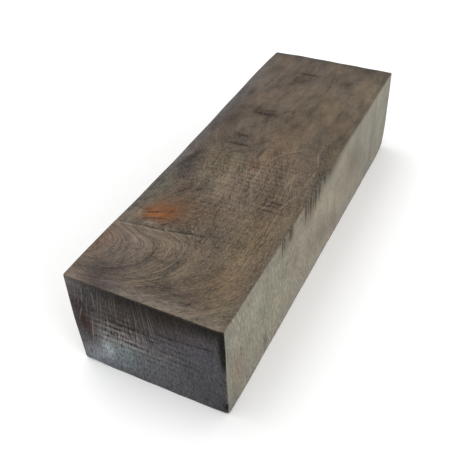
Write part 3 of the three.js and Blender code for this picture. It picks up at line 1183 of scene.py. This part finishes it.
# The finishes' numbers on the flat-sawn, the quarter-sawn and the end cuts
CUT_NUMBERS = {
    "streak_long": (1.25, 2.0, 1.8),
    "streak_wide": (0.34, 0.5, 0.29),
    "streak_tone": (2.1, 1.9, 2.4),
    "broad_tone": (0.9, 0.35, 0.5),
    "blotch_tone": (1.35, 1.0, 1.2),
    "fleck_tone": (0.46, 0.35, 0.65),
    "fibre_share": (0.34, 0.20, 0.12),
    "ring_pitch": (1.7, 3.5, 2.6),
    "ring_tone": (0.45, 0.4, 0.5),
    "ray_share": (0.0, 0.0, 0.72),
    "thread_share": (0.62, 0.0, 0.0),
    "cloud_tone": (1.2, 0.5, 0.7),
    "saw_pitch": (1.7, 1.4, 1.9),
    "saw_tone": (0.06, 0.04, 0.04),
    "sawn_tone": (0.34, 0.2, 0.5),
    "roughness": (0.62, 0.55, 0.6),
    "shine": (0.16, 0.24, 0.05),
    "ragged": (1.1, 0.4, 0.8),
}


class WoodMaterial:
    """Builds the material of one kind of cut."""

    KNOT_AT = (-10.9, -32.2)
    KNOT_REACH = (6.5, 4.9)
    KNOT_DEEP = 6.0
    # Shift in X and Y, growth, turn and strength of the knot's halo and of its body
    KNOT_OVALS = ((1.8, 0.9, 1.5, 0.25, 0.22), (0.0, 0.0, 1.0, 0.2, 0.76))
    KNOT_GLOW = ((-34.8, -15, -32, -9, 1.1, 0.5), (-33.2, -15.4, -31.2, -11.6, 0.8, 0.36))
    KNOT_VEINS = (
        (-36.4, -15.2, -33.4, -7.6, 0.42, 0.8), (-34.2, -15.6, -31.2, -9.4, 0.5, 0.85),
        (-33, -16, -31.8, -13, 0.9, 0.45), (-32.4, -9.6, -29.4, -7.8, 0.7, 0.55),
        (-34.6, -7, -32, -5.4, 0.6, 0.5), (-35.4, -16.8, -30.4, -16.4, 0.7, 0.45),
    )
    STROKE_DEEP = 2.5
    RAGGED = 1.1
    LINES_RAGGED = 0.45
    RING_WOBBLE = 1.6
    THREAD_PITCH = 1.45
    # Ring that is drawn as the boldest thread, and a number that no ring has
    BOLD_RING = 24.6
    NO_RING = -99.0
    # Length and width of the dashes in the sawn patches, and of the rays
    DASH = (3.4, 0.46)
    RAY = (16.0, 0.26)
    # Length and width of the other streaks, as multiples of the finish's own
    BROAD = (13, 8)
    BLOTCH = (4.5, 5)
    SPECK = (0.5, 0.6)
    SPECK_SHIFT = (31.0, 17.0, 5.0)
    # How far wear reaches in from an edge, and how much paler and rougher it leaves the wood
    WEAR_REACH = 0.7
    WEAR_PALE = 0.10
    WEAR_ROUGH = 0.08
    # How much noise and the relief change the roughness
    ROUGH_NOISE = 0.22
    ROUGH_RELIEF = 0.10
    # Height and strength of the relief, and how deep the dark marks lie in it
    RELIEF = 0.09 * MM
    RELIEF_STRENGTH = 0.8
    MARK_SINK = 1.4

    def __init__(self, finish: CutFinish, effects: WoodEffects, colours: BeechColours, size: Point) -> None:
        """Starts an empty material.

        Args:
            finish: What the cut looks like.
            effects: The shared node groups.
            colours: The wood's colours.
            size: Width, length and thickness of the block.
        """
        self.finish = finish
        self.effects = effects
        self.colours = colours
        self.size = size
        self.material = bpy.data.materials.new(f"beech_{finish.cut.name.lower()}_sawn")
        self.material.use_nodes = True
        self.material.node_tree.nodes.clear()
        self.graph = Graph(self.material.node_tree)
        metres = self.graph.node("TexCoord", {}).outputs["Object"]
        self.place = self.graph.vector("SCALE", metres, 1 / MM)
        self.grain = self.graph.attribute("grain", "Vector")
        self.sawn = self.graph.attribute("sawn")
        self.drawn = self.graph.attribute("drawn")

    def pushed(self, scale: float, reach: float) -> Socket:
        """Places that noise pushes about.

        Args:
            scale: How fine the noise is.
            reach: How far it pushes, in millimetres.

        Returns:
            The pushed places.
        """
        noise = self.graph.noise(self.place, scale, 3.0, output="Color")
        centred = self.graph.vector("SUBTRACT", noise, (0.5, 0.5, 0.5))
        return self.graph.vector("ADD", self.place, self.graph.vector("SCALE", centred, reach))

    def oval(self, place: Socket, middle: Point, turn: Point, reach: Point, strength: float) -> Socket:
        """The mask of one oval, by its middle, its turn in radians, its reach and its strength."""
        return self.graph.group(
            self.effects.stroke, "Mask", Place=place, Middle=middle, Turn=turn, Reach=reach, Strength=strength
        )

    def strokes(self, marks: Iterable[Stroke], ragged: float = RAGGED) -> Socket:
        """The strongest of several strokes at each place, with ragged sides.

        Args:
            marks: The strokes.
            ragged: How far their sides stray, in millimetres.

        Returns:
            One mask.
        """
        graph = self.graph
        place = self.pushed(1.0, ragged)
        total: Value = 0.0
        for mark in marks:
            turn = [0.0, 0.0, 0.0]
            reach = [self.STROKE_DEEP] * 3
            first, second = mark.side.across
            reach[first] = mark.half
            reach[second] = mark.width
            forward = (second - first) % 3 == 1
            turn[mark.side.axis] = mark.angle if forward else -mark.angle
            mask = self.oval(place, mark.middle(self.size), tuple(turn), tuple(reach), mark.strength)
            total = graph.math("MAXIMUM", total, mask)
        broken = graph.step(graph.noise(self.place, 1.3, 4.0, 0.68), 0.36, 0.56, 0.35, 1.0)
        return graph.times(total, broken)

    def streaks(self, long: float, wide: float, grain: Optional[Socket] = None) -> Socket:
        """Noise from 0 to 1 in streaks along the grain, read at its coordinates or at others."""
        where = grain or self.grain
        return self.graph.group(self.effects.streaks, "Streaks", Grain=where, Long=long, Wide=wide)

    def rings(self, output: str, pitch: float, bold: float) -> Socket:
        """Bands or threads along the growth rings.

        Args:
            output: Which of the two.
            pitch: Distance between rings.
            bold: Ring that is drawn boldest.

        Returns:
            Their strength.
        """
        return self.graph.group(
            self.effects.rings,
            output,
            Ring=self.graph.attribute("ring"),
            Place=self.place,
            Pitch=pitch,
            Wobble=self.RING_WOBBLE,
            Bold=bold,
        )

    def saw_ridges(self) -> Socket:
        """The saw's ridges, from -1 to 1, which follow each other up the ends and along the sides."""
        split = self.graph.node("SeparateXYZ", {0: self.place})
        travel = split.outputs["Z" if self.finish.cut is Cut.END else "Y"]
        return self.graph.group(
            self.effects.saw, "Ridges", Travel=travel, Place=self.place, Pitch=self.finish.saw_pitch
        )

    def tone(self) -> tuple[Socket, Socket, Socket, Socket]:
        """Lightness of the bare wood about 1, its fine relief, the saw's ridges and loose fibres."""
        graph, finish = self.graph, self.finish
        long, wide = finish.streak_long, finish.streak_wide
        crisp = graph.attribute("crisp")
        streaks = self.streaks(long, wide)
        broad = self.streaks(long * self.BROAD[0], wide * self.BROAD[1])
        blotches = self.streaks(long * self.BLOTCH[0], wide * self.BLOTCH[1])
        shifted = graph.vector("ADD", self.grain, self.SPECK_SHIFT)
        specks = self.streaks(long * self.SPECK[0], wide * self.SPECK[1], shifted)
        light = graph.step(specks, 0.55, 0.70)
        pores = graph.step(specks, 0.45, 0.30)
        clouds = graph.noise(self.place, 0.16, 4.0, 0.62)
        bands = self.rings("Bands", finish.ring_pitch, self.NO_RING)
        ridges = self.saw_ridges()
        sawn = graph.times(ridges, graph.math("MULTIPLY_ADD", self.sawn, finish.sawn_tone, finish.saw_tone))
        fine = graph.sum(
            graph.times(graph.centred(self.streaks(*self.DASH), 3.2), self.sawn),
            graph.centred(streaks, finish.streak_tone),
            graph.times(light, finish.fleck_tone * 1.2),
            graph.times(pores, -finish.fleck_tone * 0.7),
            graph.centred(graph.noise(self.place, 1.9, 2.0, 0.6), finish.streak_tone * 0.5),
            sawn,
        )
        mild = graph.math("MULTIPLY_ADD", crisp, 0.7, 0.3)
        ringed = graph.math("MULTIPLY_ADD", self.drawn, 2.2, mild)
        tone = graph.sum(
            1.0,
            graph.times(fine, crisp),
            graph.centred(broad, finish.broad_tone),
            graph.centred(clouds, finish.cloud_tone),
            graph.times(graph.centred(blotches, finish.blotch_tone), graph.math("SUBTRACT", 1.25, crisp)),
            graph.times(graph.centred(bands, finish.ring_tone), ringed),
        )
        height = graph.sum(graph.centred(streaks, 0.9), graph.centred(specks, 0.8), sawn)
        return tone, height, ridges, graph.times(light, crisp)

    def rays(self, ridges: Socket) -> Socket:
        """Long pale rays, which the saw's ridges break up.

        Args:
            ridges: The saw's ridges, from -1 to 1.

        Returns:
            Their mask.
        """
        graph = self.graph
        rays = graph.step(self.streaks(*self.RAY), 0.57, 0.66)
        whole = graph.math("SUBTRACT", 1.0, self.sawn)
        rays = graph.times(rays, graph.math("MAXIMUM", whole, graph.math("MULTIPLY_ADD", ridges, 0.6, 0.5)))
        woven = graph.math("MULTIPLY_ADD", self.sawn, 1.1, 0.62)
        shown = graph.times(self.drawn, graph.times(woven, self.finish.ray_share))
        return graph.times(rays, shown, clamp=True)

    def threads(self) -> Socket:
        """Gold threads along the rings, thinned out by noise."""
        graph = self.graph
        threads = self.rings("Threads", self.THREAD_PITCH, self.BOLD_RING)
        thin_out = graph.step(graph.noise(self.place, 0.35), 0.30, 0.60)
        shown = graph.times(self.drawn, self.finish.thread_share)
        return graph.times(graph.times(threads, thin_out), shown)

    def knot(self, colour: Socket) -> Socket:
        """Lays the amber knot and its darker streaks over a colour.

        Args:
            colour: Colour of the wood round the knot.

        Returns:
            The colour with the knot.
        """
        graph, colours = self.graph, self.colours
        x, y = self.KNOT_AT
        wide, long = self.KNOT_REACH
        high = self.size[2]
        blur = self.pushed(0.45, 3.0)
        masks = []
        for right, up, grown, turn, strength in self.KNOT_OVALS:
            reach = (wide * grown, long * grown, self.KNOT_DEEP)
            masks.append(self.oval(blur, (x + right, y + up, high), (0.0, 0.0, turn), reach, strength))
        halo, body = masks
        uneven = graph.step(graph.noise(self.place, 0.5, 3.0, 0.6), 0.3, 0.62, 0.5, 1.0)
        warm = graph.mix(halo, colour, colours.amber)
        warm = graph.mix(graph.times(body, uneven, clamp=True), warm, colours.amber)
        warm = graph.mix(self.strokes(Stroke.on(Side.TOP, *self.KNOT_GLOW)), warm, colours.amber_light)
        return graph.mix(self.strokes(Stroke.on(Side.TOP, *self.KNOT_VEINS)), warm, colours.amber_dark)

    def surface(self, colour: Socket, rough: Socket, height: Socket) -> None:
        """Ends the tree in a shader with a fine relief.

        Args:
            colour: The finished colour.
            rough: The roughness.
            height: The relief, from about -1 to 1.
        """
        graph = self.graph
        relief = {"Strength": self.RELIEF_STRENGTH, "Distance": self.RELIEF, "Height": height}
        bump = graph.node("Bump", relief)
        shader = graph.node(
            "BsdfPrincipled",
            {
                "Base Color": colour,
                "Roughness": rough,
                "Specular IOR Level": self.finish.shine,
                "Normal": bump.outputs["Normal"],
            },
        )
        graph.node("OutputMaterial", {"Surface": shader.outputs["BSDF"]})

    def build(self) -> bpy.types.Material:
        """Puts the layers together: wood, stains with a painted reflection, threads, knot, marks and worn
        edges.
        """
        graph, finish, colours = self.graph, self.finish, self.colours
        tone, height, ridges, fibres = self.tone()
        colour = graph.vector("SCALE", finish.base[:3], tone)
        # The washes' tint holds stains and, on the near end, a painted reflection.
        colour = graph.vector("MULTIPLY", colour, graph.attribute("stain_and_reflection", "Color"))
        hue = graph.step(graph.noise(self.place, 0.21, 3.0, 0.6), 0.38, 0.62)
        colour = graph.vector("MULTIPLY", colour, graph.mix(hue, colours.warm_shift, colours.cool_shift))
        colour = graph.mix(graph.times(fibres, finish.fibre_share), colour, colours.fibre)
        if finish.thread_share > 0:
            colour = graph.mix(self.threads(), colour, colours.gold)
        if finish.ray_share > 0:
            colour = graph.mix(self.rays(ridges), colour, colours.ray)
        if finish.cut is Cut.FLAT:
            colour = self.knot(colour)
        if finish.lines:
            colour = graph.mix(self.strokes(finish.lines, self.LINES_RAGGED), colour, colours.pale)
        inset = graph.attribute("inset")
        worn = graph.group(self.effects.wear, "Worn", Inset=inset, Place=self.place, Reach=self.WEAR_REACH)
        colour = graph.mix(graph.times(worn, self.WEAR_PALE), colour, colours.pale)
        dark = self.strokes(finish.marks, finish.ragged)
        colour = graph.mix(dark, colour, finish.ink)
        rough = graph.sum(
            finish.roughness,
            graph.centred(graph.noise(self.place, 0.8, 3.0), self.ROUGH_NOISE),
            graph.centred(height, self.ROUGH_RELIEF),
            graph.times(worn, self.WEAR_ROUGH),
        )
        self.surface(colour, rough, graph.math("SUBTRACT", height, graph.times(dark, self.MARK_SINK)))
        return self.material


@dataclass
class Dressing:
    """Puts the skin over the CAD solid and dresses it.

    Attributes:
        blank: The block.
        flow: Its grain.
        colours: Its colours.
    """

    blank: Blank
    flow: GrainFlow
    colours: BeechColours

    def finishes(self) -> list[CutFinish]:
        """The finish of each kind of cut, in the order of the material slots."""
        colours = self.colours
        looks = {
            Cut.FLAT: (colours.flat, colours.ink, Marks.splits(), Marks.pale_top()),
            Cut.QUARTER: (colours.quarter, colours.burn, Marks.tears(), []),
            Cut.END: (colours.end, colours.char, Marks.burns(), Marks.pale_near()),
        }
        return [
            CutFinish(
                cut=cut,
                base=base,
                ink=ink,
                marks=tuple(marks),
                lines=tuple(lines),
                **{name: numbers[cut.value] for name, numbers in CUT_NUMBERS.items()},
            )
            for cut, (base, ink, marks, lines) in looks.items()
        ]

    def build(self) -> bpy.types.Object:
        """Returns:
            The finished piece.
        """
        piece, place, side = self.blank.build(Marks.dark())
        paint = Paint(piece, place, side, self.blank.size)
        paint.grain(self.flow)
        paint.stains(Stains.all())
        paint.patches("sawn", Stains.sawn())
        paint.patches("drawn", Stains.drawn())
        paint.crispness()
        paint.edges()
        paint.layout()
        effects = WoodEffects()
        for finish in self.finishes():
            made = WoodMaterial(finish, effects, self.colours, self.blank.size).build()
            piece.data.materials.append(made)
        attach(piece, "root")
        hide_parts(CAD_NODE)
        LOG.info("%s: %d faces", piece.name, len(piece.data.polygons))
        return piece


@dataclass
class Studio:
    """The pale floor, the soft lights and the camera.

    Attributes:
        camera_at: Where the camera stands.
        camera_right: Which way is right in its view.
        camera_up: Which way is up in its view.
        camera_back: Which way is towards the viewer.
        lens: Focal length, in millimetres.
        sensor: Width of the sensor, in millimetres.
        sky: Strength of the white light all round.
        floor_reach: Half of the floor's width, in metres.
        lights: Name, place and width in metres, power in watts and colour of each soft light.
    """

    camera_at: Point = (62.959, -133.828, 129.586)
    camera_right: Point = (0.8935, 0.446998, -0.043023)
    camera_up: Point = (-0.26255, 0.597715, 0.757499)
    camera_back: Point = (0.364316, -0.665529, 0.651417)
    lens: float = 51.675
    sensor: float = 36.0
    sky: float = 0.92
    floor_reach: float = 3.0
    lights: tuple[tuple[str, Point, float, float, Point], ...] = (
        ("window", (-0.38, 0.06, 0.90), 0.5, 2.2, (1.0, 1.0, 1.0)),
        ("reflector", (0.85, -0.3, 0.22), 0.6, 5.6, (1.0, 1.0, 0.99)),
    )

    def camera(self) -> None:
        """Sets up the camera at the height and angle from which the block is seen."""
        data = bpy.data.cameras.new("camera")
        data.lens = self.lens
        data.sensor_width = self.sensor
        data.clip_start = 0.01
        camera = added("camera", data)
        turned = Matrix((self.camera_right, self.camera_up, self.camera_back)).transposed()
        camera.matrix_world = Matrix.Translation(Vector(self.camera_at) * MM) @ turned.to_4x4()
        bpy.context.scene.camera = camera

    def floor(self) -> None:
        """A plain pale floor that fades into the backdrop."""
        bm = bmesh.new()
        bmesh.ops.create_grid(bm, x_segments=8, y_segments=8, size=self.floor_reach)
        floor = added("floor", mesh_of(bm, "floor"))
        material = bpy.data.materials.new("pale_floor")
        material.use_nodes = True
        shader = material.node_tree.nodes["Principled BSDF"]
        shader.inputs["Base Color"].default_value = (0.95, 0.95, 0.95, 1.0)
        shader.inputs["Roughness"].default_value = 0.9
        shader.inputs["Specular IOR Level"].default_value = 0.1
        floor.data.materials.append(material)

    def softbox(self, name: str, place: Point, width: float, power: float, colour: Point) -> None:
        """Adds a large square light that faces the block.

        Args:
            name: The light's name.
            place: Where it stands, in metres.
            width: Its width, in metres.
            power: Its power, in watts.
            colour: Its colour.
        """
        data = bpy.data.lights.new(name, "AREA")
        data.shape = "SQUARE"
        data.size = width
        data.energy = power
        data.color = colour
        light = added(name, data)
        light.location = place
        light.rotation_euler = (-Vector(place)).to_track_quat("-Z", "Y").to_euler()

    def build(self) -> None:
        """Makes the whole studio."""
        self.camera()
        self.floor()
        world = bpy.data.worlds.new("studio")
        world.use_nodes = True
        sky = world.node_tree.nodes["Background"]
        sky.inputs["Color"].default_value = (1.0, 1.0, 1.0, 1.0)
        sky.inputs["Strength"].default_value = self.sky
        bpy.context.scene.world = world
        for light in self.lights:
            self.softbox(*light)
        bpy.context.scene.view_settings.view_transform = "Standard"


def main() -> None:
    """Builds the studio and the blank."""
    logging.basicConfig(level=logging.INFO, format="%(name)s: %(message)s")
    Studio().build()
    LOG.info("studio ready")
    Dressing(Blank(), GrainFlow(), BeechColours()).build()
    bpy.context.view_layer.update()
    LOG.info("sizes written")


if __name__ == "__main__":
    main()
